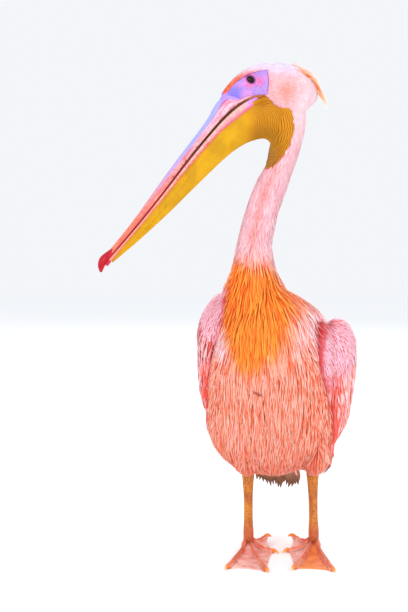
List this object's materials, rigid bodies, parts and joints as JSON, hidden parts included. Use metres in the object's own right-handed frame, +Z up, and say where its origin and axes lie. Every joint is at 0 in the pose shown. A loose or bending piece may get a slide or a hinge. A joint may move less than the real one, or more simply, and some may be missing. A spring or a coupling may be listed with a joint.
{
  "type": "pelican",
  "caption": "Life-size still model of a great white pelican in pink plumage, standing on both webbed feet with its head turned to its right and its long pouched bill lowered",
  "frame": {"origin": "on the floor under the middle of the bird's bounding box", "axes": "+Z up; the breast faces -Y, the bird's left side is at +X; the head is turned to the bird's right, towards -X"},
  "size_m": [0.4864, 0.4634, 0.9604],
  "materials": {
    "plumage": "soft layered body feathers, salmon pink with a yellow-orange breast patch",
    "coverts": "pale pink pointed covert feathers with darker gaps",
    "flight_feathers": "stiff brown-black flight feathers",
    "tail_feathers": "pinkish grey tail feathers with soiled tips",
    "crest": "loose orange-yellow nape plumes",
    "bill_horn": "satin horn, lilac-grey along the top with pink, cream and red streaks at the sides",
    "bill_nail": "glossy red horn",
    "pouch_skin": "ochre-yellow bare skin with fine wrinkles at the throat",
    "leg_skin": "scaly orange leg skin",
    "foot_skin": "scaly orange-pink toes and creased webs",
    "claw_horn": "yellow-orange horn",
    "eye": "wet, very dark brown"
  },
  "bodies": {
    "root": {"trunk": "plumage", "neck_lower": "plumage", "neck_upper": "plumage", "head": "plumage", "thigh_left": "plumage", "thigh_right": "plumage", "wing_left": "coverts", "wing_right": "coverts", "flight_feathers_left": "flight_feathers", "flight_feathers_right": "flight_feathers", "tail": "tail_feathers", "crest": "crest", "bill_upper": "bill_horn", "bill_lower": "bill_horn", "bill_nail": "bill_nail", "pouch": "pouch_skin", "eye_left": "eye", "eye_right": "eye", "shank_left": "leg_skin", "shank_right": "leg_skin", "foot_left": "foot_skin", "foot_right": "foot_skin", "claw_outer_left": "claw_horn", "claw_outer_right": "claw_horn", "claw_middle_left": "claw_horn", "claw_middle_right": "claw_horn", "claw_inner_left": "claw_horn", "claw_inner_right": "claw_horn", "claw_hind_left": "claw_horn", "claw_hind_right": "claw_horn"}
  },
  "joints": []
}
